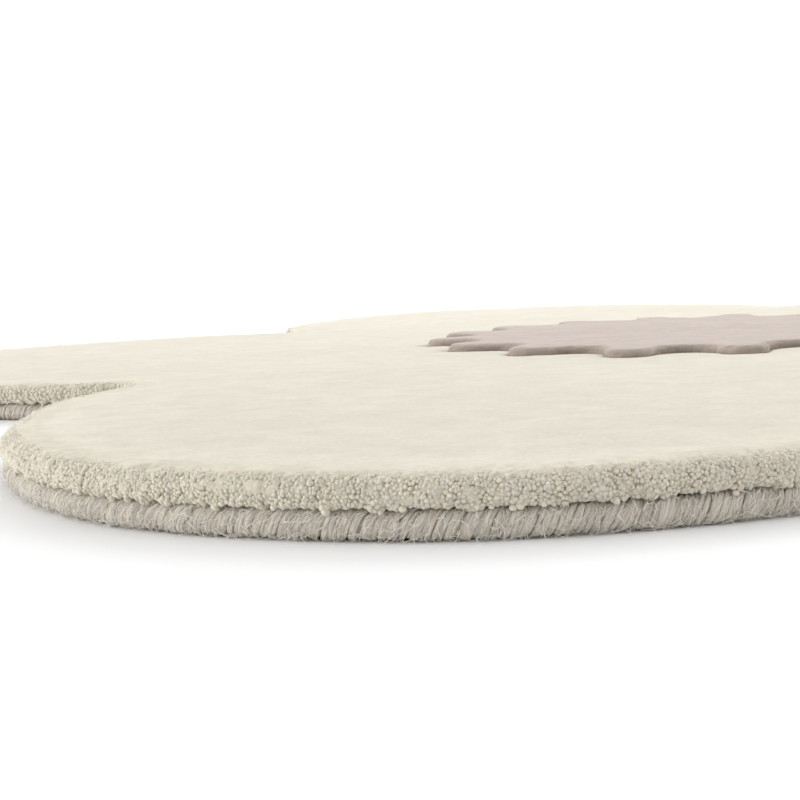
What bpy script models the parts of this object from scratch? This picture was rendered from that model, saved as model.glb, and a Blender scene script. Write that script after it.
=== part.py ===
"""Flower shaped rug for a child's room, hand tufted in wool.

Three pieces, as a maker puts them together: the tufted body, which is the
base cloth with its cut cream pile, the raised taupe flower heart, tufted
higher on the same base cloth, and the yarn whipping sewn round the edge.
Metres, +Z up. The origin is the middle of the underside, on the floor, and
one petal points along -Y.
"""

import math

import bmesh
import bpy
from mathutils import Vector

# The flower seen from above, and the smaller one with many petals that is its heart
FLOWER = {
    "petals": 5,
    "reach": 0.489,
    "petal_radius": 0.186,
    "notch_radius": 0.0165,
    "petal_steps": 34,
    "notch_steps": 6,
}
HEART = {
    "petals": 16,
    "reach": 0.147,
    "petal_radius": 0.0116,
    "notch_radius": 0.0154,
    "petal_steps": 8,
    "notch_steps": 4,
}
FIRST_PETAL = math.radians(-90)

# The cloth and its pile
THICKNESS = 0.0167
BASE_CLOTH = 0.0030
GAP = 0.0003

# The whipping round the edge
WHIP_WIDTH = 0.0080
WHIP_HEIGHT = 0.0084

# How far the heart stands above the pile, and how far its rim is rounded
HEART_RAISED = 0.0035
HEART_SHOULDER = 0.0022

# Waves round the rug, how far each one moves the edge, and where it starts. The
# first makes each petal a little square, with flatter stretches on both sides of
# its tip. The others let the edge wander, as a hand-cut rug's does.
EDGE_WAVES = (
    {"waves": 10, "swing": 0.0070, "start": 0.8 * math.pi},
    {"waves": 7, "swing": 0.0011, "start": 0.4},
    {"waves": 16, "swing": 0.0008, "start": 2.1},
    {"waves": 37, "swing": 0.0005, "start": 4.0},
)
# The pile's rim sinks and swells too, without reaching the whipping
RIM_WAVES = (
    {"waves": 11, "swing": 0.0004, "start": 1.3},
    {"waves": 29, "swing": 0.0003, "start": 3.2},
)

# Sections across the edge. out is measured outwards from the flower's
# outline, up from the floor, and soft says how much of RIM_WAVES moves it.
BODY_SECTION = (
    {"out": -WHIP_WIDTH - 2 * GAP, "up": 0.0, "soft": 0.0},
    {"out": -WHIP_WIDTH - 2 * GAP, "up": WHIP_HEIGHT + GAP, "soft": 0.0},
    {"out": -0.0014, "up": WHIP_HEIGHT + 2 * GAP, "soft": 0.0},
    {"out": 0.0002, "up": 0.0104, "soft": 0.3},
    {"out": 0.0004, "up": 0.0124, "soft": 0.6},
    {"out": -0.0012, "up": 0.0148, "soft": 1.0},
    {"out": -0.0042, "up": 0.0163, "soft": 0.5},
    {"out": -0.0120, "up": THICKNESS, "soft": 0.0},
)
WHIP_SECTION = (
    {"out": -0.0064, "up": 0.0},
    {"out": -0.0018, "up": 0.0},
    {"out": -0.0003, "up": 0.0018},
    {"out": 0.0000, "up": 0.0046},
    {"out": -0.0010, "up": 0.0070},
    {"out": -0.0034, "up": WHIP_HEIGHT},
    {"out": -0.0066, "up": 0.0078},
    {"out": -WHIP_WIDTH, "up": 0.0052},
    {"out": -WHIP_WIDTH, "up": 0.0018},
)

CREAM = (0.76, 0.71, 0.58)
GREIGE = (0.72, 0.66, 0.58)
TAUPE = (0.60, 0.51, 0.45)
WOOL_ROUGHNESS = 0.95


def clear_scene():
    for obj in list(bpy.data.objects):
        bpy.data.objects.remove(obj)


def wool(name, colour):
    material = bpy.data.materials.new(name)
    material.use_nodes = True
    shader = material.node_tree.nodes["Principled BSDF"]
    shader.inputs["Base Color"].default_value = (*colour, 1.0)
    shader.inputs["Roughness"].default_value = WOOL_ROUGHNESS
    shader.inputs["Metallic"].default_value = 0.0
    return material


def swell(waves, turn):
    """How far the waves move a point that lies this share of a turn round the rug."""
    return sum(
        w["swing"] * math.sin(w["waves"] * 2 * math.pi * turn + w["start"]) for w in waves
    )


def along_arc(centre, radius, start, end, steps, hollow=False):
    """(place, outward direction) of points along an arc, without its last one."""
    found = []
    for i in range(steps):
        angle = start + (end - start) * i / steps
        ray = Vector((math.cos(angle), math.sin(angle)))
        found.append((centre + radius * ray, -ray if hollow else ray))
    return found


def flower_outline(petals, reach, petal_radius, notch_radius, petal_steps, notch_steps):
    """(place, outward direction) round a flower: petal arcs joined by notch arcs."""
    half = math.pi / petals
    petal_at = reach - petal_radius
    span = petal_radius + notch_radius
    notch_at = petal_at * math.cos(half) + math.sqrt(span**2 - (petal_at * math.sin(half)) ** 2)
    to_notch = Vector((notch_at * math.cos(half) - petal_at, notch_at * math.sin(half)))
    open_angle = math.atan2(to_notch.y, to_notch.x)
    turn = open_angle - half
    outline = []
    for k in range(petals):
        facing = FIRST_PETAL + 2 * half * k
        centre = petal_at * Vector((math.cos(facing), math.sin(facing)))
        outline += along_arc(
            centre, petal_radius, facing - open_angle, facing + open_angle, petal_steps
        )
        between = facing + half
        notch = notch_at * Vector((math.cos(between), math.sin(between)))
        opposite = between + math.pi
        outline += along_arc(
            notch, notch_radius, opposite + turn, opposite - turn, notch_steps, hollow=True
        )
    return outline


def ring(mesh, outline, out, up, waves=(), soft=0.0):
    """A closed row of points, moved outwards from the outline and lifted."""
    verts = []
    for i, (place, outward) in enumerate(outline):
        turn = i / len(outline)
        at = place + outward * (out + swell(waves, turn) + soft * swell(RIM_WAVES, turn))
        verts.append(mesh.verts.new((at.x, at.y, up)))
    return verts


def skin(mesh, lower, upper):
    """Faces between two rows, the first one lower or further out."""
    count = len(lower)
    for i in range(count):
        j = (i + 1) % count
        mesh.faces.new((lower[i], lower[j], upper[j], upper[i]))


def finish_solid(name, mesh, material):
    bmesh.ops.recalc_face_normals(mesh, faces=mesh.faces)
    data = bpy.data.meshes.new(name)
    mesh.to_mesh(data)
    mesh.free()
    data.materials.append(material)
    data.shade_smooth()
    data.set_sharp_from_angle(angle=math.radians(40))
    obj = bpy.data.objects.new(name, data)
    bpy.context.scene.collection.objects.link(obj)
    return obj


def stacked_solid(name, rows, material):
    """A closed solid through rows of points, from its underside to its top."""
    mesh = bmesh.new()
    made = [ring(mesh, **row) for row in rows]
    for lower, upper in zip(made, made[1:]):
        skin(mesh, lower, upper)
    mesh.faces.new(reversed(made[0]))
    mesh.faces.new(made[-1])
    return finish_solid(name, mesh, material)


def tufted_body(outline, heart):
    """Base cloth and cream pile in one, with a pocket where the heart stands."""
    rows = [{"outline": outline, "waves": EDGE_WAVES, **row} for row in BODY_SECTION]
    body = stacked_solid("cream_pile", rows, wool("cream_wool", CREAM))
    pocket = stacked_solid(
        "heart_pocket",
        [
            {"outline": heart, "out": GAP, "up": BASE_CLOTH},
            {"outline": heart, "out": GAP, "up": 2 * THICKNESS},
        ],
        body.data.materials[0],
    )
    pocket.hide_render = True
    pocket.display_type = "WIRE"
    cut = body.modifiers.new("heart pocket", "BOOLEAN")
    cut.operation = "DIFFERENCE"
    cut.object = pocket
    return body


def flower_heart(heart):
    """Taupe pile on the base cloth, standing above the cream with a soft shoulder."""
    top = THICKNESS + HEART_RAISED
    rows = [
        {"outline": heart, "out": 0.0, "up": BASE_CLOTH + GAP},
        {"outline": heart, "out": 0.0, "up": top - HEART_SHOULDER},
        {"outline": heart, "out": -0.3 * HEART_SHOULDER, "up": top - 0.3 * HEART_SHOULDER},
        {"outline": heart, "out": -HEART_SHOULDER, "up": top},
    ]
    return stacked_solid("taupe_heart", rows, wool("taupe_wool", TAUPE))


def whipped_edge(outline):
    """The yarn whipping, a closed ring with a flat underside."""
    mesh = bmesh.new()
    rows = [ring(mesh, outline, waves=EDGE_WAVES, **row) for row in WHIP_SECTION]
    for lower, upper in zip(rows, rows[1:] + rows[:1]):
        skin(mesh, lower, upper)
    return finish_solid("yarn_whipping", mesh, wool("greige_yarn", GREIGE))


def main():
    clear_scene()
    outline = flower_outline(**FLOWER)
    heart = flower_outline(**HEART)
    tufted_body(outline, heart)
    flower_heart(heart)
    whipped_edge(outline)


main()
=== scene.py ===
import math

import bpy
import numpy as np
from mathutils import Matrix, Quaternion, Vector


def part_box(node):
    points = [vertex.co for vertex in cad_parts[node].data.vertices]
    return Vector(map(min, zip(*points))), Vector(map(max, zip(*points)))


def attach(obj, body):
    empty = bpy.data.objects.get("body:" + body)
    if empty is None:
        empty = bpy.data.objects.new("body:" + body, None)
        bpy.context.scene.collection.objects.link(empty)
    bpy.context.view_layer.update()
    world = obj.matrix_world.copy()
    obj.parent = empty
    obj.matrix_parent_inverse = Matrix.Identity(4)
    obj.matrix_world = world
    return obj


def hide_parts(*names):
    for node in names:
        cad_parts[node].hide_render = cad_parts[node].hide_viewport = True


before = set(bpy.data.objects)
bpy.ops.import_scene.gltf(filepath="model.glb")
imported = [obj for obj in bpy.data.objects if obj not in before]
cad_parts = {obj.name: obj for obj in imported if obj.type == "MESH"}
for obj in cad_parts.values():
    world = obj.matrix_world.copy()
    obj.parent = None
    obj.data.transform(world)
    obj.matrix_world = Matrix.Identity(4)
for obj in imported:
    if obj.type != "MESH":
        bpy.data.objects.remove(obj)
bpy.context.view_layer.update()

bl_info = {
    "name": "Flower rug",
    "version": (1, 0, 0),
    "blender": (4, 5, 0),
    "location": "3D View > Sidebar > Rug",
    "description": "Tufts a flower shaped wool rug with a whipped edge, and lights it",
    "category": "Add Mesh",
}

TURN = 2 * math.pi

# The flower of the rug and the smaller one that is its heart. petal_share is how
# much of a petal's turn its round edge takes, before the notch to the next petal.
RUG_SHAPE = {
    "petals": 5,
    "reach": 0.489,
    "petal_radius": 0.186,
    "notch_radius": 0.0165,
    "petal_share": 34 / 40,
}
HEART_SHAPE = {
    "petals": 16,
    "reach": 0.147,
    "petal_radius": 0.0116,
    "notch_radius": 0.0154,
    "petal_share": 8 / 12,
}
FIRST_PETAL = math.radians(-90)

# Heights read from the solids
PILE_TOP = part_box("cream_pile")[1].z
HEART_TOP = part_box("taupe_heart")[1].z
WHIP_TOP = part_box("yarn_whipping")[1].z

# The whipping's width, the gap between two solids and the base cloth's thickness
WHIP_WIDTH = 0.0080
GAP = 0.0003
BASE_CLOTH = 0.0030

# How far the yarn's fibres turn round it, in radians for each metre of yarn
TWIST = 420.0

# How many waves go round the rug, how far they move the edge, and where they start. The
# first makes each petal a little square, and the others let the edge wander.
EDGE_WAVES = (
    (10, 0.0070, 0.8 * math.pi),
    (7, 0.0011, 0.4),
    (16, 0.0008, 2.1),
    (37, 0.0005, 4.0),
)

# Sections across the edge, out from the outline and up from the floor. The pile's
# goes over the whipping, up its cut side and in over the top. SHELF is the length
# along it where the cut side begins.
PILE_SECTION = (
    (-WHIP_WIDTH - 2 * GAP, WHIP_TOP + GAP),
    (-0.0040, WHIP_TOP + 2 * GAP),
    (-0.0010, WHIP_TOP + 2 * GAP),
    (0.0002, 0.0104),
    (0.0004, 0.0124),
    (-0.0010, 0.0148),
    (-0.0040, 0.0163),
    (-0.0080, PILE_TOP),
    (-0.0140, PILE_TOP),
)
SHELF = 0.0068
WHIP_SECTION = (
    (-0.0064, 0.0),
    (-0.0030, 0.0),
    (-0.0008, 0.0015),
    (0.0001, 0.0042),
    (-0.0010, 0.0070),
    (-0.0034, WHIP_TOP),
    (-0.0070, 0.0080),
)
HEART_SECTION = (
    (0.0, 0.0110),
    (0.0, 0.0160),
    (0.0002, HEART_TOP - 0.0020),
    (-0.0008, HEART_TOP - 0.0006),
    (-0.0030, HEART_TOP),
    (-0.0065, HEART_TOP),
)

# The stretch of edge nearest the camera, as lengths along the outline. Its mesh is
# the finest, and it has the most loose fibres.
NEAR_FROM = -0.030
NEAR_TO = 0.470

# Bands of rows over the pile's top, as shares of the way from its edge to the heart:
# begin, end, number of rows, and what the number of points round the edge is divided by
TOP_BANDS = ((0.006, 0.012, 1, 2), (0.014, 0.075, 9, 4), (0.075, 1.0, 30, 4))

# The radius at which the heart's top has become round, and the rings inside it: their
# radii, and what the number of points round the outline is divided by
HEART_ROUND = 0.102
HEART_RINGS = (
    (0.093, 4),
    (0.083, 4),
    (0.072, 4),
    (0.060, 8),
    (0.047, 8),
    (0.033, 8),
    (0.018, 16),
)

# The studio's white paper, and its soft lights: name, place, what each one is aimed
# at, size and power
PAPER_HALF = 9.0
BACK_AT = 4.5
BACK_HEIGHT = 2.4
LIGHTS = (
    ("overhead", (0.0, 1.5, 3.2), (0.0, 1.2, 0.0), (7.0, 7.0), 76.0),
    ("left_front", (-2.6, -1.9, 0.5), (-0.1, -0.4, 0.0), (2.4, 1.0), 60.0),
    ("right_front", (3.0, 0.1, 0.6), (0.2, -0.3, 0.0), (1.6, 1.0), 21.0),
    ("behind", (-0.2, 1.6, 1.3), (0.0, 0.35, 0.0), (2.0, 0.8), 17.0),
)
SKY_LIGHT = 0.58
CAMERA = {
    "place": (0.1723, -0.7921, 0.0687),
    "ahead": (-0.4067, 0.9136),
    "pitch": 0.1027,
    "roll": -0.0428,
    "lens": 63.7,
}


def arcs_of(petals, reach, petal_radius, notch_radius, petal_share):
    """A flower's outline as arcs in a row, petal after notch, with their lengths."""
    half = math.pi / petals
    petal_at = reach - petal_radius
    span = petal_radius + notch_radius
    notch_at = petal_at * math.cos(half) + math.sqrt(span**2 - (petal_at * math.sin(half)) ** 2)
    open_angle = math.atan2(notch_at * math.sin(half), notch_at * math.cos(half) - petal_at)
    turn = open_angle - half
    rows = []
    for k in range(petals):
        facing = FIRST_PETAL + 2 * half * k
        between = facing + half
        rows.append((petal_at, facing, petal_radius, facing - open_angle, 2 * open_angle, 1))
        rows.append((notch_at, between, notch_radius, between + math.pi + turn, -2 * turn, -1))
    at, towards, radius, start, sweep, side = np.array(rows).T
    share = np.tile((petal_share, 1 - petal_share), petals) / petals
    length = radius * abs(sweep)
    return {
        "centre": np.stack((at * np.cos(towards), at * np.sin(towards)), axis=1),
        "radius": radius,
        "start": start,
        "sweep": sweep,
        "side": side,
        "length": length,
        "ends": np.cumsum(length),
        "share": share,
        "turn": np.cumsum(share) - share,
        "total": length.sum(),
        "tip": length[0] / 2,
    }


# The outlines of the rug and of its heart
RUG = arcs_of(**RUG_SHAPE)
HEART = arcs_of(**HEART_SHAPE)


def outline_at(arcs, s):
    """Places, outward directions and turns of the points at lengths s along an outline."""
    s = np.mod(s, arcs["total"])
    last = len(arcs["ends"]) - 1
    which = np.minimum(np.searchsorted(arcs["ends"], s, side="right"), last)
    share = (s - arcs["ends"][which] + arcs["length"][which]) / arcs["length"][which]
    angle = arcs["start"][which] + share * arcs["sweep"][which]
    ray = np.stack((np.cos(angle), np.sin(angle)), axis=-1)
    place = arcs["centre"][which] + arcs["radius"][which][..., None] * ray
    outward = ray * arcs["side"][which][..., None]
    return place, outward, arcs["turn"][which] + share * arcs["share"][which]


def swell(turn):
    """How far the edge's waves move it."""
    return sum(swing * np.sin(waves * TURN * turn + start) for waves, swing, start in EDGE_WAVES)


def edge_points(arcs, s, out, up, waves=True):
    """Points out from an outline and up from the floor, at the lengths s along it."""
    place, outward, turn = outline_at(arcs, s)
    reach = out + (swell(turn) if waves else 0.0)
    flat = place + outward * np.broadcast_to(reach, np.shape(s))[..., None]
    height = np.broadcast_to(up, np.shape(s))[..., None]
    return np.concatenate((flat, height), axis=-1)


def rounded(points, rounds=3):
    """A line through the middle of the corners of a rough one, with its ends kept."""
    line = np.array(points, float)
    for _ in range(rounds):
        cut = np.empty((2 * len(line) - 2, 2))
        cut[0::2] = 0.75 * line[:-1] + 0.25 * line[1:]
        cut[1::2] = 0.25 * line[:-1] + 0.75 * line[1:]
        line = np.vstack((line[:1], cut, line[-1:]))
    return line


def lengths_along(line):
    """The length along a line at each of its points."""
    step = np.diff(line, axis=0)
    return np.concatenate(((0.0,), np.cumsum(np.hypot(step[:, 0], step[:, 1]))))


def along_line(line, v):
    """Places on a line at the lengths v along it, and its normals there."""
    lengths = lengths_along(line)
    slope = np.gradient(line, lengths, axis=0)
    v = np.clip(v, 0.0, lengths[-1])
    place, run = (
        np.stack([np.interp(v, lengths, part[:, i]) for i in (0, 1)], axis=-1)
        for part in (line, slope)
    )
    run /= np.linalg.norm(run, axis=-1, keepdims=True)
    return place, np.stack((run[..., 1], -run[..., 0]), axis=-1)


def along_section(points, v):
    """Places on a section, once it is rounded, and its normals there."""
    return along_line(rounded(points), v)


def section_length(points):
    return lengths_along(rounded(points))[-1]


def lifted(place, normal, lift):
    """How far out and how far up places on a section are, once they are moved off it."""
    return place[..., 0] + normal[..., 0] * lift, place[..., 1] + normal[..., 1] * lift


def ease(x):
    """A smooth rise from 0 to 1."""
    x = np.clip(x, 0.0, 1.0)
    return x * x * (3 - 2 * x)


def foot_share(v):
    """1 at the foot of the pile's cut side, falling to 0 a little way up it."""
    return 1 - ease((v - SHELF) / 0.0042)


def near_share(s, fade):
    """1 on the stretch nearest the camera, falling to 0 over fade past its ends."""
    total = RUG["total"]
    middle = (NEAR_FROM + NEAR_TO) / 2
    half = (NEAR_TO - NEAR_FROM) / 2
    off = np.abs(np.mod(s - middle + total / 2, total) - total / 2)
    return 1 - ease((off - half) / fade)


def columns(fine, coarse, multiple):
    """Lengths along the outline, fine apart near the camera and coarse apart elsewhere."""
    s = np.linspace(0.0, RUG["total"], 20001)
    density = 1 / (coarse + (fine - coarse) * near_share(s, fade=0.08))
    count = np.concatenate(((0.0,), np.cumsum((density[1:] + density[:-1]) / 2 * np.diff(s))))
    wanted = int(round(count[-1] / multiple)) * multiple
    return np.interp(np.arange(wanted) * count[-1] / wanted, count, s)


def tufts(s, v, size, total, seed):
    """Scattered tufts: each point's height on the one it lies in, and that one's own number."""
    radius = 0.74
    rng = np.random.default_rng(seed)
    across = max(4, int(round(total / size)))
    down = int(np.ceil(np.max(v) / size)) + 4
    jitter = 0.15 + 0.70 * rng.random((across, down, 2))
    number = rng.random((across, down))
    x = np.mod(s, total) * across / total
    y = v / size + 1.5
    column = np.floor(x).astype(int)
    row = np.floor(y).astype(int)
    nearest = np.full(np.shape(x), np.inf)
    own = np.zeros(np.shape(x))
    for i in (-1, 0, 1):
        for j in (-1, 0, 1):
            a = np.mod(column + i, across)
            b = np.clip(row + j, 0, down - 1)
            off_x = column + i + jitter[a, b, 0] - x
            off_y = row + j + jitter[a, b, 1] - y
            distance = np.hypot(off_x, off_y)
            closer = distance < nearest
            nearest = np.where(closer, distance, nearest)
            own = np.where(closer, number[a, b], own)
    return np.sqrt(np.clip(1 - (nearest / radius) ** 2, 0.0, 1.0)), own


def ripple(x, y, length, seed, waves=9):
    """A soft random relief between about -1 and 1, with hills of about the given length."""
    rng = np.random.default_rng(seed)
    total = 0.0
    for _ in range(waves):
        way = TURN * rng.random()
        pitch = length * (0.6 + 0.9 * rng.random())
        start = TURN * rng.random()
        total = total + np.sin(TURN * (x * math.cos(way) + y * math.sin(way)) / pitch + start)
    return total / math.sqrt(waves) / 1.4


def wander(s, total, length, seed, waves=7):
    """A random number that changes softly along the closed outline, between about -1 and 1."""
    rng = np.random.default_rng(seed)
    value = 0.0
    for _ in range(waves):
        times = max(1, int(round(total / (length * (0.6 + 0.9 * rng.random())))))
        value = value + np.sin(TURN * times * s / total + TURN * rng.random())
    return value / math.sqrt(waves) / 1.4


class Skin:
    """Closed rows of points joined into one mesh, with two numbers on each point.

    depth is 1 on top of a tuft and 0 down between tufts, and the pile's material paints
    shade where it is low; cut is 1 on the granular side of the pile and 0 on its sheared top.
    """

    def __init__(self):
        self.points = []
        self.depths = []
        self.cuts = []
        self.faces = []
        self.count = 0

    def row(self, points, depth=1.0, cut=0.0):
        self.points.append(points)
        self.depths.append(np.broadcast_to(depth, len(points)))
        self.cuts.append(np.broadcast_to(cut, len(points)))
        index = np.arange(self.count, self.count + len(points))
        self.count += len(points)
        return index

    def add(self, *corners):
        """A row of faces, given as the rows of their corners."""
        self.faces += np.stack(corners, axis=1).tolist()

    def join(self, lower, upper):
        """Faces between two rows, where one may have half as many points."""
        if len(lower) == len(upper):
            self.add(lower, np.roll(lower, -1), np.roll(upper, -1), upper)
        elif len(lower) == 2 * len(upper):
            first, middle = lower[0::2], lower[1::2]
            after, above = np.roll(first, -1), np.roll(upper, -1)
            self.add(first, middle, upper)
            self.add(middle, after, above)
            self.add(middle, above, upper)
        else:
            first, middle = upper[0::2], upper[1::2]
            after, below = np.roll(first, -1), np.roll(lower, -1)
            self.add(lower, middle, first)
            self.add(lower, below, middle)
            self.add(below, after, middle)

    def fan(self, row, point, faces_up):
        """Closes the mesh from a row to a point in its middle."""
        middle = self.row(np.array([point]))[0]
        after = np.roll(row, -1)
        ends = (row, after) if faces_up else (after, row)
        self.add(*ends, np.full(len(row), middle))

    def rows(self, made):
        """Joins rows that follow each other."""
        for lower, upper in zip(made, made[1:]):
            self.join(lower, upper)

    def object(self, name):
        numbers = {"depth": np.concatenate(self.depths), "cut": np.concatenate(self.cuts)}
        return mesh_object(name, np.vstack(self.points), self.faces, numbers)


def mesh_object(name, points, faces, numbers=None, lay=None):
    """An object with a smooth mesh, whose point attributes the materials read."""
    data = bpy.data.meshes.new(name)
    data.from_pydata(np.asarray(points).tolist(), [], faces)
    data.shade_smooth()
    for title, values in (numbers or {}).items():
        attribute = data.attributes.new(title, "FLOAT", "POINT")
        attribute.data.foreach_set("value", np.asarray(values, np.float32))
    if lay is not None:
        attribute = data.attributes.new("lay", "FLOAT_VECTOR", "POINT")
        attribute.data.foreach_set("vector", np.asarray(lay, np.float32).ravel())
    piece = bpy.data.objects.new(name, data)
    bpy.context.scene.collection.objects.link(piece)
    return piece


def tubes(lines, radii, sides, seed):
    """Closed tubes along many lines at once: points, faces and each point's lay.

    The lay is a place in the twisted yarn, along it and round it, moved at
    random for each tube so that no two look alike.
    """
    rng = np.random.default_rng(seed)
    tangent = np.gradient(lines, axis=1)
    tangent /= np.linalg.norm(tangent, axis=2, keepdims=True)
    guess = rng.normal(size=(len(lines), 1, 3))
    first = guess - (guess * tangent).sum(axis=2, keepdims=True) * tangent
    first /= np.linalg.norm(first, axis=2, keepdims=True)
    second = np.cross(tangent, first)
    angle = TURN * np.arange(sides) / sides
    ring = np.cos(angle)[:, None] * first[:, :, None] + np.sin(angle)[:, None] * second[:, :, None]
    points = lines[:, :, None] + radii[:, :, None, None] * ring
    index = np.arange(points[..., 0].size).reshape(points.shape[:3])
    here, there = index[:, :-1], index[:, 1:]
    walls = np.stack((here, np.roll(here, -1, 2), np.roll(there, -1, 2), there), axis=-1)
    faces = walls.reshape(-1, 4).tolist()
    faces += index[:, 0, ::-1].tolist() + index[:, -1].tolist()
    step = np.linalg.norm(np.diff(lines, axis=1), axis=2)
    along = np.concatenate((np.zeros((len(lines), 1)), np.cumsum(step, axis=1)), axis=1)
    start = rng.random((len(lines), 1, 1, 3))
    lay = np.empty(points.shape)
    lay[..., 0] = along[:, :, None]
    twisted = angle + TWIST * along[:, :, None]
    lay[..., 1] = np.cos(twisted) * radii[:, :, None]
    lay[..., 2] = np.sin(twisted) * radii[:, :, None]
    return points.reshape(-1, 3), faces, (lay + start).reshape(-1, 3)


def hair_lines(roots, ways, lengths, curl, joints, seed, floor=0.0):
    """Lines of bent hairs that start at roots, leave in ways and stay above the floor."""
    rng = np.random.default_rng(seed)
    t = np.linspace(0.0, 1.0, joints)[None, :, None]
    ways = ways / np.linalg.norm(ways, axis=1, keepdims=True)
    bend = rng.normal(size=(len(roots), 3)) * curl
    again = rng.normal(size=(len(roots), 3)) * curl
    run = ways[:, None] * t + bend[:, None] * t**2 + again[:, None] * (t**3 - t**2)
    lines = roots[:, None] + lengths[:, None, None] * run
    lines[..., 2] = np.maximum(lines[..., 2], floor)
    return lines


def length_setting(name, description, default):
    return bpy.props.FloatProperty(
        name=name, description=description, default=default, unit="LENGTH"
    )


def colour_setting(name, description, default):
    return bpy.props.FloatVectorProperty(
        name=name, description=description, default=default, subtype="COLOR"
    )


class RugSizes(bpy.types.PropertyGroup):
    """What a user would change in the rug's pieces."""

    tuft: length_setting("Tuft", "Width of a cut tuft", 0.0020)
    tuft_relief: length_setting("Tuft relief", "How far a tuft stands out of the pile's cut side", 0.0010)
    wrap: length_setting("Wrap", "Width of one wrap of the yarn", 0.0047)
    plies: bpy.props.IntProperty(
        name="Plies", description="Strands side by side in one wrap", default=5
    )
    strand: length_setting("Strand", "Thickness of one strand", 0.00128)
    lean: length_setting("Lean", "How far a wrap moves along the edge from its foot to its top", 0.0072)
    fibre: length_setting("Fibre", "Thickness of a loose fibre", 0.00018)


class RugColours(bpy.types.PropertyGroup):
    """The yarns' colours."""

    cream: colour_setting("Cream", "Cut pile", (0.735, 0.690, 0.585))
    taupe: colour_setting("Taupe", "Flower heart", (0.527, 0.453, 0.409))
    greige: colour_setting("Greige", "Whipping yarn", (0.664, 0.618, 0.547))
    fluff: colour_setting("Fluff", "Loose fibres", (0.92, 0.90, 0.85))
    canvas: colour_setting("Canvas", "Base cloth", (0.52, 0.47, 0.38))
    paper: colour_setting("Paper", "Studio floor", (0.92, 0.92, 0.92))


def new_material(name, roughness, sheen):
    """A material, its nodes, its shader and the socket that tells the place on the object."""
    material = bpy.data.materials.new(name)
    material.use_nodes = True
    tree = material.node_tree
    shader = tree.nodes["Principled BSDF"]
    shader.inputs["Roughness"].default_value = roughness
    shader.inputs["Sheen Weight"].default_value = sheen
    shader.inputs["Sheen Roughness"].default_value = 0.6
    shader.inputs["Specular IOR Level"].default_value = 0.15
    return material, tree, shader, tree.nodes.new("ShaderNodeTexCoord").outputs["Object"]


def node(tree, kind, output, inputs, **settings):
    """An output of a new node, whose inputs are linked to sockets or set to plain values."""
    made = tree.nodes.new(kind)
    for name, value in settings.items():
        setattr(made, name, value)
    for name, value in inputs.items():
        if isinstance(value, bpy.types.NodeSocket):
            tree.links.new(value, made.inputs[name])
        else:
            made.inputs[name].default_value = value
    return made.outputs[output]


def noise(tree, source, scale, detail, roughness=0.6):
    """A noise that reads a vector socket."""
    inputs = {"Vector": source, "Scale": scale, "Detail": detail, "Roughness": roughness}
    return node(tree, "ShaderNodeTexNoise", "Fac", inputs)


def spread(tree, source, low, high, start=0.3, end=0.7):
    """A number from low to high as source goes from start to end."""
    inputs = {"Value": source, "From Min": start, "From Max": end, "To Min": low, "To Max": high}
    return node(tree, "ShaderNodeMapRange", "Result", inputs)


def times(tree, first, second):
    """Two numbers multiplied."""
    inputs = {0: first, 1: second}
    return node(tree, "ShaderNodeMath", "Value", inputs, operation="MULTIPLY")


def mixed(tree, factor, low, high):
    """A number between two, by a factor socket."""
    return node(tree, "ShaderNodeMix", "Result", {"A": low, "B": high, "Factor": factor})


def blended(tree, factor, low, high):
    """A colour between two, by a factor socket."""
    inputs = {"A": (*low, 1.0), "B": (*high, 1.0), "Factor": factor}
    return node(tree, "ShaderNodeMix", "Result", inputs, data_type="RGBA")


def layered(tree, first, second):
    """Two colours multiplied."""
    inputs = {0: first, 1: second}
    return node(tree, "ShaderNodeVectorMath", "Vector", inputs, operation="MULTIPLY")


def shaded(tree, colour, strength):
    """A colour made darker or lighter by a number socket."""
    inputs = {"Vector": colour, "Scale": strength}
    return node(tree, "ShaderNodeVectorMath", "Vector", inputs, operation="SCALE")


def bumped(tree, shader, height, distance, strength, before=None):
    """Bumps on a shader, on top of those made before."""
    inputs = {"Height": height, "Distance": distance, "Strength": strength}
    if before is not None:
        inputs["Normal"] = before
    bumps = node(tree, "ShaderNodeBump", "Normal", inputs)
    tree.links.new(bumps, shader.inputs["Normal"])
    return bumps


def attribute(tree, name, output):
    return node(tree, "ShaderNodeAttribute", output, {}, attribute_name=name)


def tinted(colour, factors):
    return tuple(c * f for c, f in zip(colour, factors))


def cells(tree, source, scale):
    """How far a place is from the nearest of many scattered points, soft where cells meet."""
    inputs = {"Vector": source, "Scale": scale, "Smoothness": 0.35}
    return node(tree, "ShaderNodeTexVoronoi", "Distance", inputs, feature="SMOOTH_F1")


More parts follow.
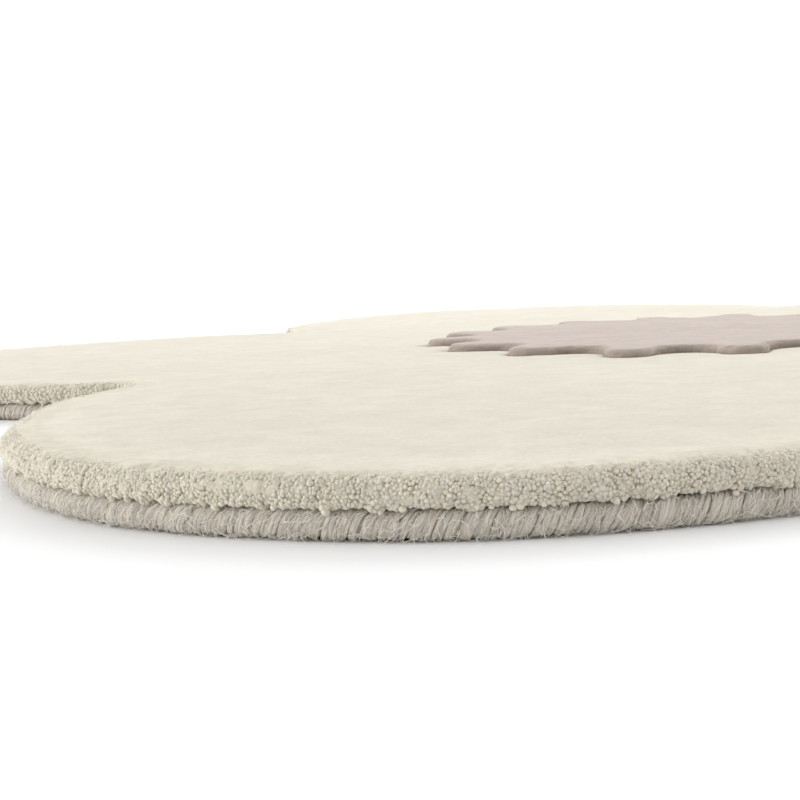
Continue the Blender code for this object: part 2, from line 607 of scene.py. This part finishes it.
def pile_wool(name, colour):
    """Cut wool pile: felt-like on top, granular where it is cut, with painted shade between its tufts and
    a sheared top painted darker than the cut side to balance the light.
    """
    material, tree, shader, place = new_material(name, 1.0, 0.20)
    shader.inputs["Sheen Tint"].default_value = (*tinted(colour, (1.2, 1.2, 1.2)), 1.0)
    shader.inputs["Subsurface Weight"].default_value = 0.5
    shader.inputs["Subsurface Radius"].default_value = (1.0, 1.0, 1.0)
    shader.inputs["Subsurface Scale"].default_value = 0.0007
    cut = attribute(tree, "cut", "Fac")
    granule = cells(tree, place, 720.0)
    broad = spread(tree, noise(tree, place, 16.0, 3.0), 0.0, 1.0)
    cloudy = blended(tree, broad, tinted(colour, (0.945, 0.94, 0.925)), colour)
    patches = spread(tree, noise(tree, place, 70.0, 4.0, 0.7), 0.915, 1.045)
    grains = spread(tree, noise(tree, place, 620.0, 4.0, 0.75), 0.905, 1.065)
    # Painted shade: where the depth attribute is low, down between tufts, the colour turns darker and
    # browner.
    raised = spread(tree, attribute(tree, "depth", "Fac"), 0.0, 1.0, 0.0, 0.9)
    roots = blended(tree, raised, (0.90, 0.855, 0.79), (0.96, 0.96, 0.96))
    # Painted shade where the granules meet, lighter at their middles; the sheared top is painted darker
    # than the cut side to balance the light on it.
    between = mixed(tree, cut, 0.815, spread(tree, granule, 1.07, 0.96, 0.15, 0.75))
    tone = times(tree, times(tree, patches, grains), between)
    tree.links.new(shaded(tree, layered(tree, cloudy, roots), tone), shader.inputs["Base Color"])
    rounded_off = spread(tree, granule, 1.0, 0.0, 0.0, 0.8)
    height = times(tree, rounded_off, spread(tree, cut, 0.07, 1.0, 0.0, 1.0))
    pebbles = bumped(tree, shader, height, 0.0003, 0.5)
    bumped(tree, shader, noise(tree, place, 1500.0, 4.0, 0.8), 0.0002, 0.4, pebbles)
    return material


def base_cloth(name, colour):
    """The plain woven cloth that the tufts stand in, seen from below."""
    material, tree, shader, place = new_material(name, 0.95, 0.1)
    inputs = {"Vector": place, "Scale": 130.0, "Distortion": 1.2, "Detail": 1.0, "Detail Scale": 0.4}
    threads = [
        node(tree, "ShaderNodeTexWave", "Fac", inputs, bands_direction=way) for way in ("X", "Y")
    ]
    weave = times(tree, *threads)
    tone = spread(tree, weave, 0.72, 1.05, 0.0, 1.0)
    speck = spread(tree, noise(tree, place, 180.0, 4.0), 0.92, 1.06)
    tone = times(tree, tone, speck)
    cloth = blended(tree, noise(tree, place, 12.0, 2.0), tinted(colour, (0.95, 0.95, 0.95)), colour)
    tree.links.new(shaded(tree, cloth, tone), shader.inputs["Base Color"])
    bumped(tree, shader, weave, 0.0005, 0.6)
    return material


def spun_wool(name, colour):
    """Hairy spun yarn: fibres along each strand, in slightly different shades."""
    material, tree, shader, place = new_material(name, 0.95, 0.08)
    inputs = {"Vector": attribute(tree, "lay", "Vector"), "Scale": (0.16, 1.0, 1.0)}
    stretched = node(tree, "ShaderNodeMapping", "Vector", inputs)
    fibres = noise(tree, stretched, 3600.0, 3.0, 0.7)
    heather = spread(tree, noise(tree, place, 70.0, 4.0, 0.7), 0.0, 1.0)
    warm = blended(
        tree, heather, tinted(colour, (0.93, 0.92, 0.93)), tinted(colour, (1.05, 1.045, 1.02))
    )
    strand = spread(tree, attribute(tree, "depth", "Fac"), 0.93, 1.06, 0.0, 1.0)
    tone = times(tree, spread(tree, fibres, 0.86, 1.12), strand)
    tree.links.new(shaded(tree, warm, tone), shader.inputs["Base Color"])
    bumped(tree, shader, fibres, 0.00022, 0.8)
    return material


def loose_wool(name, colour):
    """Single fibres: one soft shade, a little glossier than the yarn."""
    material, tree, shader, place = new_material(name, 0.7, 0.1)
    shade = noise(tree, place, 240.0, 2.0)
    tone = blended(tree, shade, tinted(colour, (0.94, 0.94, 0.94)), colour)
    tree.links.new(tone, shader.inputs["Base Color"])
    return material


def studio_paper(name, colour, glow):
    """White studio paper, softly uneven, lit through where it glows."""
    material, tree, shader, place = new_material(name, 0.9, 0.0)
    soft = noise(tree, place, 0.8, 1.0)
    tone = blended(tree, soft, tinted(colour, (0.995, 0.995, 0.995)), colour)
    tree.links.new(tone, shader.inputs["Base Color"])
    shader.inputs["Emission Color"].default_value = (1.0, 1.0, 1.0, 1.0)
    shader.inputs["Emission Strength"].default_value = glow
    return material


def glowing_far_off(material, glow):
    """Lights paper through more and more away from the rug, so that the floor stays white."""
    tree = material.node_tree
    place = tree.nodes["Texture Coordinate"].outputs["Object"]
    away = node(tree, "ShaderNodeVectorMath", "Value", {0: place}, operation="LENGTH")
    light = spread(tree, away, 0.0, glow, 1.0, 3.0)
    tree.links.new(light, tree.nodes["Principled BSDF"].inputs["Emission Strength"])


def hand_over(piece, material, nodes=()):
    """Gives a piece its finish and its place on the rug's body, and hides the solids that it stands for.
    """
    piece.data.materials.append(material)
    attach(piece, "root")
    if nodes:
        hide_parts(*nodes)


def pile_relief(s, v, total, sizes, cut, seed):
    """How far the pile's surface moves out at its cut side, and how deep each point lies, for the shade
    that the material paints between tufts.

    cut is 1 where the pile is cut as a granular side and 0 on its sheared top.
    """
    dome, own = tufts(s, v, sizes.tuft, total, seed)
    small, _ = tufts(s, v, sizes.tuft * 0.48, total, seed + 1)
    clump = ripple(s, v, 0.009, seed + 2) + 0.6 * wander(s, total, 0.035, seed + 3)
    stand = dome * (0.70 + 0.45 * own) + 0.38 * small
    side = sizes.tuft_relief * (stand - 1.05) + 0.00030 * clump
    top = 0.00014 * (dome - 0.8) + 0.00008 * small
    depth = np.clip(0.95 * dome**2 * (0.75 + 0.25 * own) + 0.45 * small**2 - 0.30, 0.0, 1.0)
    return cut * side + (1 - cut) * top, cut * depth + (1 - cut) * (0.75 + 0.25 * depth)


def top_relief(points):
    """The sheared pile's soft unevenness at points on it."""
    x, y = points[:, 0], points[:, 1]
    broad = 0.00035 * ripple(x, y, length=0.16, seed=31)
    soft = 0.00020 * ripple(x, y, length=0.045, seed=32)
    return broad + soft + 0.00010 * ripple(x, y, length=0.014, seed=33)


def level_row(skin, points, top, cut=0.0):
    """A row on the sheared top of the pile, at the height that its unevenness gives."""
    points[:, 2] = top + top_relief(points)
    return skin.row(points, 1.0, cut)


def sag(s):
    """How far the foot of the pile hangs down over the whipping, in irregular clumps."""
    total = RUG["total"]
    hanging = wander(s, total, 0.0075, seed=21) + 0.6 * wander(s, total, 0.020, seed=22)
    return 0.0011 * ease(hanging - 0.25) + 0.0003 * wander(s, total, 0.0035, seed=23)


def pile_edge_rows(skin, sizes, s):
    """The pile's shelf over the whipping, its granular side and the first of its top."""
    length = section_length(PILE_SECTION)
    made = []
    # The shelf under the overhang gets a low depth, which the pile's material paints as shade.
    for v in (0.0, 0.0035):
        place, _ = along_section(PILE_SECTION, v)
        made.append(skin.row(edge_points(RUG, s[0::2], *place), 0.1, 1.0))
    side_end = SHELF + 0.0108
    rim_from, rim_width = SHELF + 0.0088, 0.0060
    steps = np.concatenate(
        (np.arange(SHELF, side_end, 0.0008), np.arange(side_end, length - 0.001, 0.0012))
    )
    hang = sag(s)
    for v in steps:
        place, normal = along_section(PILE_SECTION, v)
        cut = 0.3 + 0.7 * (1 - ease((v - rim_from) / rim_width))
        relief, depth = pile_relief(s, v, RUG["total"], sizes, cut, seed=11)
        drift = 0.00025 * ripple(s, v, length=0.003, seed=17)
        out, up = lifted(place, normal, relief)
        points = edge_points(RUG, s + drift, out, up - hang * foot_share(v))
        points[:, 2] += (1 - cut) * top_relief(points)
        made.append(skin.row(points, depth, cut))
    return made


def pile_top_rows(skin, s, start):
    """The sheared top, from the edge to the pocket where the heart stands."""
    made = []
    share = (s - RUG["tip"]) / RUG["total"]
    target = edge_points(HEART, HEART["tip"] + share * HEART["total"], GAP, PILE_TOP, waves=False)
    origin = edge_points(RUG, s, PILE_SECTION[-1][0], PILE_TOP)
    for begin, end, count, divide in TOP_BANDS:
        for t in np.linspace(begin, end, count, endpoint=False):
            points = (1 - t) * origin[::divide] + t * target[::divide]
            made.append(level_row(skin, points, PILE_TOP, 0.3 * (1 - ease(t / 0.09))))
    skin.rows([start, *made])
    rim = target[::4].copy()
    rim[:, 2] = PILE_TOP - 0.0006
    wall = rim.copy()
    wall[:, 2] = BASE_CLOTH
    # The pocket's rim and wall get lower depths, which the pile's material paints as shade.
    ends = [skin.row(rim, 0.5), skin.row(wall, 0.2)]
    skin.rows([made[-1], *ends])
    skin.fan(ends[-1], (0.0, 0.0, BASE_CLOTH), faces_up=True)


def cream_pile(sizes, colours):
    """The tufted body: base cloth below, granular cut side and sheared top."""
    s = columns(fine=0.00075, coarse=0.0050, multiple=8)
    skin = Skin()
    edge = pile_edge_rows(skin, sizes, s)
    skin.rows(edge)
    pile_top_rows(skin, s, edge[-1])
    inset = PILE_SECTION[0][0]
    # The flat underside rows and the wall up to the shelf get a low depth, which the pile's material
    # paints as shade.
    flat = [skin.row(edge_points(RUG, s[0::2], inset - d, 0.0), 0.3) for d in (0.0016, 0.0004, 0.0)]
    skin.rows([*flat, edge[0]])
    skin.fan(flat[0], (0.0, 0.0, 0.0), faces_up=False)
    piece = skin.object("cream_pile_tufted")
    hand_over(piece, pile_wool("cream_wool_pile", colours.cream), ["cream_pile"])
    piece.data.materials.append(base_cloth("base_cloth_canvas", colours.canvas))
    for face in piece.data.polygons:
        face.material_index = int(face.center.z < BASE_CLOTH / 2 and face.normal.z < -0.5)
    return piece


def ball():
    """A round shape of 32 triangles: an octahedron with each face split in four."""
    points = [(1, 0, 0), (0, 1, 0), (-1, 0, 0), (0, -1, 0), (0, 0, 1), (0, 0, -1)]
    faces = []
    for i in range(4):
        faces += [(i, (i + 1) % 4, 4), ((i + 1) % 4, i, 5)]
    middles = {}
    split = []
    for face in faces:
        between = []
        for a, b in zip(face, face[1:] + face[:1]):
            edge = (min(a, b), max(a, b))
            if edge not in middles:
                middles[edge] = len(points)
                middle = np.add(points[a], points[b])
                points.append(tuple(middle / np.linalg.norm(middle)))
            between.append(middles[edge])
        ab, bc, ca = between
        split += [(face[0], ab, ca), (ab, face[1], bc), (ca, bc, face[2]), (ab, bc, ca)]
    return np.array(points, float), np.array(split)


def wool_balls(name, material, centres, radii, facing, cut, seed):
    """Lumpy round ends of tufts, with painted shade where they turn away from the way they face."""
    rng = np.random.default_rng(seed)
    count = len(centres)
    shape, faces = ball()
    field = shape[None] * 2.2 + rng.uniform(-9.0, 9.0, (count, 1, 3))
    lumps = np.sin(field[..., 0] + field[..., 1]) * np.sin(1.4 * field[..., 1] + field[..., 2])
    stretch = rng.uniform(0.86, 1.14, (count, 1, 3))
    spread_out = shape[None] * (1 + 0.12 * lumps)[..., None] * stretch * radii[:, None, None]
    # Painted shade: depth falls on the side of each ball that turns away from the way it faces, and the
    # pile's material darkens it there.
    shown = (shape[None] * facing[:, None]).sum(axis=2)
    depth = np.clip(0.50 + 0.50 * shown + 0.14 * rng.normal(size=(count, 1)), 0.0, 1.0)
    index = faces[None] + (np.arange(count) * len(shape))[:, None, None]
    numbers = {"depth": depth.ravel(), "cut": np.repeat(cut, len(shape))}
    points = (centres[:, None] + spread_out).reshape(-1, 3)
    piece = mesh_object(name, points, index.reshape(-1, 3).tolist(), numbers)
    hand_over(piece, material)


def side_facing(s, normal):
    """The way the pile's surface faces, from the section's normals along the outline."""
    _, outward, _ = outline_at(RUG, s)
    return np.column_stack((outward * normal[:, :1], normal[:, 1]))


def granules(name, material, begin, end, spacing, radius, seed):
    """Rounded ends of cut tufts, close together over the pile's side and rim."""
    rng = np.random.default_rng(seed)
    bottom, top = SHELF - 0.0012, SHELF + 0.0128
    rim_from, rim_width = SHELF + 0.0070, 0.0060
    row_share = 0.9
    jitter = 0.42
    across = int((end - begin) / spacing)
    down = int((top - bottom) / (row_share * spacing))
    column, row = np.meshgrid(np.arange(across), np.arange(down), indexing="ij")
    count = column.size
    aside = column + 0.5 * (row % 2) + rng.uniform(-jitter, jitter, column.shape)
    s = begin + aside.ravel() * spacing
    v = bottom + (row + rng.uniform(-jitter, jitter, row.shape)).ravel() * row_share * spacing
    place, normal = along_section(PILE_SECTION, v)
    rim = ease((v - rim_from) / rim_width)
    foot = foot_share(v)
    clump = wander(s, RUG["total"], 0.012, seed + 1)
    radii = radius * rng.uniform(0.84, 1.14, count) * (1 + 0.16 * clump)
    radii = radii * (1 - 0.30 * rim) * (1 + 0.16 * foot)
    lift = radius * (-0.22 - 0.62 * rim + 0.09 * rng.normal(size=count) * (1 - 0.8 * rim))
    lift = lift + 0.00024 * ripple(s, v, 0.006, seed + 2) * (1 - rim)
    out, up = lifted(place, normal, lift)
    centres = edge_points(RUG, s, out, up - (sag(s) + 0.0002) * foot)
    facing = side_facing(s, normal)
    wool_balls(name, material, centres, radii, facing, 1 - 0.5 * rim, seed + 3)


def clumps(material, seed):
    """Clusters of tufts at the foot of the pile that hang over the whipping here and there."""
    per_clump = 4
    rng = np.random.default_rng(seed)
    middle = np.cumsum(rng.uniform(0.0045, 0.0190, 400))
    middle = np.repeat(middle[middle < RUG["total"] - 0.004], per_clump)
    count = len(middle)
    s = middle + rng.normal(size=count) * 0.0011
    hang = np.abs(rng.normal(size=count)) * 0.0007
    out = -0.0010 + rng.uniform(0.0, 0.0006, count)
    centres = edge_points(RUG, s, out, WHIP_TOP + 0.0009 - hang)
    radii = rng.uniform(0.00075, 0.00120, count)
    facing = side_facing(s, np.tile((0.95, -0.3), (count, 1)))
    wool_balls("cream_clumps", material, centres, radii, facing, np.ones(count), seed + 1)


def cut_side(material):
    """The cut tufts' ends all round the rug, finest where the camera is near."""
    total = RUG["total"]
    split = 0.42 * NEAR_FROM + 0.58 * NEAR_TO
    behind = total - 0.36
    granules("cream_tufts_left", material, NEAR_FROM, split, 0.00122, 0.00083, seed=41)
    granules("cream_tufts_right", material, split, NEAR_TO, 0.00108, 0.00074, seed=45)
    granules("cream_tufts_behind", material, behind, total + NEAR_FROM, 0.0019, 0.00112, seed=57)
    granules("cream_tufts_round", material, NEAR_TO, behind, 0.0039, 0.00190, seed=49)
    clumps(material, seed=53)


def scattered(count, near_weight, seed):
    """Random lengths along the outline, near_weight times denser nearest the camera."""
    rng = np.random.default_rng(seed)
    s = np.linspace(0.0, RUG["total"], 4001)
    weight = 1 + (near_weight - 1) * near_share(s, fade=0.05)
    sums = np.cumsum(weight)
    return np.interp(rng.random(count) * sums[-1], sums, s)


def cream_fuzz(sizes, colours):
    """Fibre ends that stand out of the pile's side and its rim."""
    rng = np.random.default_rng(51)
    count = 3400
    s = scattered(count, near_weight=14.0, seed=52)
    v = SHELF + 0.0125 * rng.random(count)
    place, normal = along_section(PILE_SECTION, v)
    roots = edge_points(RUG, s, *lifted(place, normal, -0.0003))
    ways = side_facing(s, normal) * 1.2 + rng.normal(size=(count, 3)) * 0.65
    lengths = rng.uniform(0.0006, 0.0014, count)
    lines = hair_lines(roots, ways, lengths, curl=0.5, joints=3, seed=53)
    taper = np.array((0.50, 0.42, 0.12)) * sizes.fibre * 0.8
    points, faces, _ = tubes(lines, np.broadcast_to(taper, (count, 3)), sides=3, seed=54)
    piece = mesh_object("cream_fuzz", points, faces)
    hand_over(piece, loose_wool("cream_wool_fibre", colours.cream))


def flower_heart(sizes, colours):
    """The raised taupe pile in the middle, with a rounded, granular rim."""
    total = HEART["total"]
    count = 960
    s = np.arange(count) * total / count
    length = section_length(HEART_SECTION)
    side_end = 0.0095
    rim_from, rim_width = 0.0085, 0.0035
    skin = Skin()
    foot = skin.row(edge_points(HEART, s[::2], 0.0, BASE_CLOTH + GAP, waves=False), 0.2)
    skin.fan(foot, (0.0, 0.0, BASE_CLOTH + GAP), faces_up=False)
    made = [foot]
    for v in np.concatenate((np.arange(0.0, side_end, 0.0007), np.arange(side_end, length, 0.0011))):
        place, normal = along_section(HEART_SECTION, v)
        cut = 1 - ease((v - rim_from) / rim_width)
        # The relief's depth is painted as shade between tufts by the heart's material.
        relief, depth = pile_relief(s, v, total, sizes, cut, seed=61)
        out, up = lifted(place, normal, 0.6 * relief)
        points = edge_points(HEART, s, out, up, waves=False)
        points[:, 2] += (1 - cut) * top_relief(points)
        made.append(skin.row(points, depth))
    origin = edge_points(HEART, s, HEART_SECTION[-1][0], HEART_TOP, waves=False)
    angle = FIRST_PETAL + TURN * (s - HEART["tip"]) / total
    ring = np.column_stack((np.cos(angle), np.sin(angle), np.zeros(count)))
    for t in np.linspace(0.08, 1.0, 7):
        points = (1 - t) * origin[::2] + t * HEART_ROUND * ring[::2]
        made.append(level_row(skin, points, HEART_TOP))
    for radius, divide in HEART_RINGS:
        made.append(level_row(skin, radius * ring[::divide], HEART_TOP))
    skin.rows(made)
    skin.fan(made[-1], (0.0, 0.0, HEART_TOP), faces_up=True)
    piece = skin.object("taupe_heart_tufted")
    hand_over(piece, pile_wool("taupe_wool_pile", colours.taupe), ["taupe_heart"])


def inset_section(points, depth):
    """A section moved inwards from its surface."""
    line = rounded(points, 2)
    _, normal = along_line(line, lengths_along(line))
    return line - depth * normal


def wrap_lines(sizes, wraps, first, last, joints):
    """Middle lines of the strands in a run of wraps, and their radii."""
    total = RUG["total"]
    rng = np.random.default_rng(71)
    shift = rng.normal(size=wraps) * 0.00022
    slant = 1 + 0.08 * rng.normal(size=wraps)
    lift = rng.normal(size=wraps)
    at = np.arange(wraps) * total / wraps
    bold = 0.45 + 0.45 * np.clip(wander(at, total, 0.16, seed=72), -1, 1)
    wrap = np.repeat(np.arange(first, last), sizes.plies)
    ply = np.tile(np.arange(sizes.plies), last - first) - (sizes.plies - 1) / 2
    rng = np.random.default_rng(73 + first)
    count = len(wrap)
    thick = bold[wrap]
    w = np.linspace(0.0, 1.0, joints)[None, :]
    pitch = total / wraps / sizes.plies * (1 - 0.06 * thick)
    middle = at[wrap] + total / wraps / 2 + shift[wrap] + ply * pitch
    middle = middle + 0.00016 * rng.normal(size=count)
    lean = sizes.lean * slant[wrap] * (1 + 0.07 * rng.normal(size=count))
    sway = 0.00030 * np.sin(TURN * (w * rng.uniform(0.3, 0.8, (count, 1)) + rng.random((count, 1))))
    s = middle[:, None] + lean[:, None] * (0.6 * w + 0.4 * w**2.2 - 0.4) + sway
    rounding = (np.abs(ply) / (sizes.plies / 2)) ** 2 * thick
    low = 0.00036 * rounding - 0.00014 * lift[wrap] + 0.00011 * rng.normal(size=count)
    low = low[:, None] + 0.00007 * rng.normal(size=(count, joints))
    section = inset_section(WHIP_SECTION, sizes.strand / 2)
    place, normal = along_line(section, w * lengths_along(section)[-1])
    radii = sizes.strand / 2 * (1 + 0.12 * rng.normal(size=(count, 1))) * np.ones((1, joints))
    radii = radii * (1 - 0.15 * (2 * np.abs(w - 0.5)) ** 6)
    out, up = lifted(place, normal, -low)
    return edge_points(RUG, s, out, np.maximum(up, radii)), radii


def whipping_core(colours):
    """The edge of the base cloth under the yarn, which shows only between wraps, in the yarn's colour
    painted darker there as shade.
    """
    s = columns(fine=0.005, coarse=0.007, multiple=4)
    section = inset_section(WHIP_SECTION, depth=0.00080)[::2]
    skin = Skin()
    made = []
    for out, up in [*section, (-WHIP_WIDTH, 0.0056), (-WHIP_WIDTH, 0.0018)]:
        made.append(skin.row(edge_points(RUG, s, out, max(up, 0.0004)), 0.2))
    skin.rows([*made, made[0]])
    # The core's colour is the yarn's, painted darker as shade between the wraps, and its low depth adds
    # more painted shade.
    core = pile_wool("yarn_core", tinted(colours.greige, (0.9, 0.9, 0.9)))
    hand_over(skin.object("whipping_core"), core)


def whipping(sizes, colours):
    """The yarn wraps, one piece for each petal, and the cloth's edge that they hold."""
    wraps = int(round(RUG["total"] / sizes.wrap))
    yarn = spun_wool("greige_spun_wool", colours.greige)
    petals = RUG_SHAPE["petals"]
    whipping_core(colours)
    for k in range(petals):
        first = round(k * wraps / petals)
        last = round((k + 1) * wraps / petals)
        joints, sides = (12, 7) if k == 0 else (6, 4)
        lines, radii = wrap_lines(sizes, wraps, first, last, joints)
        points, faces, lay = tubes(lines, radii, sides, 81 + k)
        rng = np.random.default_rng(91 + k)
        shade = np.repeat(rng.random(len(lines)), joints * sides)
        piece = mesh_object(f"yarn_wraps_{k + 1}", points, faces, {"depth": shade}, lay)
        nodes = ["yarn_whipping"] if k == 0 else []
        hand_over(piece, yarn, nodes)


def teased(sizes, count, near, span, slope, stand, joints, seed):
    """Closed tubes for fibres that lie over the wraps, bent and a little off them.

    span is a fibre's shortest and longest length, slope the angle it lies at and
    how much that varies, and stand how far off the yarn its middle is.
    """
    rng = np.random.default_rng(seed)
    t = np.linspace(0.0, 1.0, joints)[None, :]
    length = span[0] + (span[1] - span[0]) * rng.random((count, 1)) ** 2.0
    angle = slope[0] + slope[1] * rng.normal(size=(count, 1))
    bend = 0.9 * rng.normal(size=(count, 1))
    angle = angle + bend * (t - 0.5) + 0.5 * np.sin(TURN * (t * 0.9 + rng.random((count, 1))))
    step = length / (joints - 1)
    ahead = np.cumsum(np.cos(angle) * step, axis=1)
    climb = np.cumsum(np.sin(angle) * step, axis=1)
    s = scattered(count, near, seed + 1)[:, None] + ahead
    reach = section_length(WHIP_SECTION)
    v = reach * rng.uniform(0.16, 0.86, (count, 1)) + climb - climb[:, joints // 2][:, None]
    lift = stand * rng.uniform(0.3, 1.4, (count, 1)) * np.sin(math.pi * np.clip(t + 0.1, 0, 1))
    place, normal = along_section(WHIP_SECTION, np.clip(v, 0.0012, reach))
    out, up = lifted(place, normal, lift)
    lines = edge_points(RUG, s, out, np.maximum(up, 0.00012))
    radii = sizes.fibre / 2 * (1 - 0.55 * np.abs(2 * t - 1) ** 3) * rng.uniform(0.7, 1.15, (count, 1))
    return tubes(lines, radii, sides=3, seed=seed + 2)


def foot_hairs(sizes, count, seed):
    """Closed tubes for hairs that stick out of the whipping's foot, over the floor."""
    rng = np.random.default_rng(seed)
    s = scattered(count, near_weight=9.0, seed=seed + 1)
    place, normal = along_section(WHIP_SECTION, rng.uniform(0.0050, 0.0085, count))
    roots = edge_points(RUG, s, place[:, 0], place[:, 1])
    _, outward, _ = outline_at(RUG, s)
    along = np.column_stack((-outward[:, 1], outward[:, 0], np.zeros(count)))
    ways = np.column_stack((outward * normal[:, :1], normal[:, 1] - 0.35))
    ways = ways + along * rng.normal(size=(count, 1)) * 1.3 + rng.normal(size=(count, 3)) * 0.3
    lengths = rng.uniform(0.0010, 0.0042, count)
    lines = hair_lines(roots, ways, lengths, curl=0.45, joints=5, seed=seed + 2, floor=0.00014)
    taper = np.array((0.50, 0.48, 0.42, 0.32, 0.12)) * sizes.fibre * 0.85
    return tubes(lines, np.broadcast_to(taper, (count, 5)), sides=3, seed=seed + 3)


def yarn_fibres(sizes, colours):
    """Fibres that have worked out of the whipping: fuzz along the strands and long loose ends."""
    fuzz = loose_wool("yarn_fuzz_fibre", tinted(colours.greige, (1.34, 1.33, 1.30)))
    pale = loose_wool("loose_yarn_fibre", colours.fluff)
    dark = loose_wool("stray_dark_fibre", tinted(colours.greige, (0.24, 0.22, 0.32)))
    along = (math.radians(66), math.radians(16))
    across = (math.radians(40), math.radians(50))
    sets = {
        "yarn_fuzz": teased(sizes, 6000, 14.0, (0.0012, 0.0046), along, 0.00026, 4, 101),
        "yarn_loose_fibres": teased(sizes, 1350, 12.0, (0.0030, 0.0125), across, 0.00065, 7, 111),
        "yarn_foot_fibres": foot_hairs(sizes, 900, 121),
        "yarn_stray_fibres": teased(sizes, 70, 9.0, (0.0008, 0.0026), along, 0.00040, 4, 131),
    }
    wools = {"yarn_fuzz": fuzz, "yarn_stray_fibres": dark}
    for name, (points, faces, _) in sets.items():
        hand_over(mesh_object(name, points, faces), wools.get(name, pale))


def camera_at(place, ahead, pitch, roll, lens):
    data = bpy.data.cameras.new("low_view")
    data.lens = lens
    data.sensor_width = 36.0
    data.clip_start = 0.01
    camera = bpy.data.objects.new("low_view", data)
    look = Vector((ahead[0] * math.cos(pitch), ahead[1] * math.cos(pitch), -math.sin(pitch)))
    turned = look.to_track_quat("-Z", "Y") @ Quaternion((0.0, 0.0, 1.0), roll)
    camera.rotation_mode = "QUATERNION"
    camera.rotation_quaternion = turned
    camera.location = place
    bpy.context.scene.collection.objects.link(camera)
    bpy.context.scene.camera = camera


def soft_light(name, place, aim, size, power):
    data = bpy.data.lights.new(name, "AREA")
    data.shape = "RECTANGLE"
    data.size, data.size_y = size
    data.energy = power
    light = bpy.data.objects.new(name, data)
    light.location = place
    light.rotation_euler = (Vector(aim) - Vector(place)).to_track_quat("-Z", "Y").to_euler()
    bpy.context.scene.collection.objects.link(light)


def paper_sheet(name, corners, material):
    sheet = mesh_object(name, corners, [[0, 1, 2, 3]])
    sheet.data.materials.append(material)
    return sheet


def studio(colours):
    """White paper floor, a lit white background behind, soft light from above, the camera."""
    paper = studio_paper("floor_paper", colours.paper, 0.0)
    glowing_far_off(paper, 0.35)
    lit = studio_paper("lit_paper", colours.paper, 1.2)
    x, y, z = PAPER_HALF, BACK_AT, BACK_HEIGHT
    floor = paper_sheet("studio_floor", [(-x, -x, 0), (x, -x, 0), (x, x, 0), (-x, x, 0)], paper)
    back = paper_sheet("studio_back", [(-x, y, 0), (x, y, 0), (x, y, z), (-x, y, z)], lit)
    for light in LIGHTS:
        soft_light(*light)
    world = bpy.data.worlds.new("studio")
    world.use_nodes = True
    sky = world.node_tree.nodes["Background"]
    sky.inputs["Color"].default_value = (1.0, 1.0, 1.0, 1.0)
    sky.inputs["Strength"].default_value = SKY_LIGHT
    bpy.context.scene.world = world
    bpy.context.scene.view_settings.view_transform = "Standard"
    camera_at(**CAMERA)


class RUG_OT_cream_pile(bpy.types.Operator):
    """Tuft the cream pile on its base cloth"""

    bl_idname = "rug.cream_pile"
    bl_label = "Tuft the cream pile"

    def execute(self, context):
        scene = context.scene
        pile = cream_pile(scene.rug_sizes, scene.rug_colours)
        cut_side(pile.data.materials[0])
        cream_fuzz(scene.rug_sizes, scene.rug_colours)
        return {"FINISHED"}


class RUG_OT_flower_heart(bpy.types.Operator):
    """Tuft the raised taupe flower heart"""

    bl_idname = "rug.flower_heart"
    bl_label = "Tuft the flower heart"

    def execute(self, context):
        flower_heart(context.scene.rug_sizes, context.scene.rug_colours)
        return {"FINISHED"}


class RUG_OT_whipping(bpy.types.Operator):
    """Wind the yarn round the edge and tease out its fibres"""

    bl_idname = "rug.whipping"
    bl_label = "Whip the edge"

    def execute(self, context):
        whipping(context.scene.rug_sizes, context.scene.rug_colours)
        yarn_fibres(context.scene.rug_sizes, context.scene.rug_colours)
        return {"FINISHED"}


class RUG_OT_studio(bpy.types.Operator):
    """Lay the white floor and set the lights and the camera"""

    bl_idname = "rug.studio"
    bl_label = "Light the studio"

    def execute(self, context):
        studio(context.scene.rug_colours)
        return {"FINISHED"}


class RUG_PT_panel(bpy.types.Panel):
    bl_label = "Flower rug"
    bl_idname = "RUG_PT_panel"
    bl_space_type = "VIEW_3D"
    bl_region_type = "UI"
    bl_category = "Rug"

    def draw(self, context):
        layout = self.layout
        for group in (context.scene.rug_sizes, context.scene.rug_colours):
            for name in group.__annotations__:
                layout.prop(group, name)
        for operator in OPERATORS:
            layout.operator(operator.bl_idname)


OPERATORS = (RUG_OT_cream_pile, RUG_OT_flower_heart, RUG_OT_whipping, RUG_OT_studio)
CLASSES = (RugSizes, RugColours, *OPERATORS, RUG_PT_panel)


def register():
    for item in CLASSES:
        bpy.utils.register_class(item)
    bpy.types.Scene.rug_sizes = bpy.props.PointerProperty(type=RugSizes)
    bpy.types.Scene.rug_colours = bpy.props.PointerProperty(type=RugColours)


def unregister():
    del bpy.types.Scene.rug_colours
    del bpy.types.Scene.rug_sizes
    for item in reversed(CLASSES):
        bpy.utils.unregister_class(item)


def main():
    register()
    bpy.ops.rug.cream_pile()
    bpy.ops.rug.flower_heart()
    bpy.ops.rug.whipping()
    bpy.ops.rug.studio()


if __name__ == "__main__":
    main()
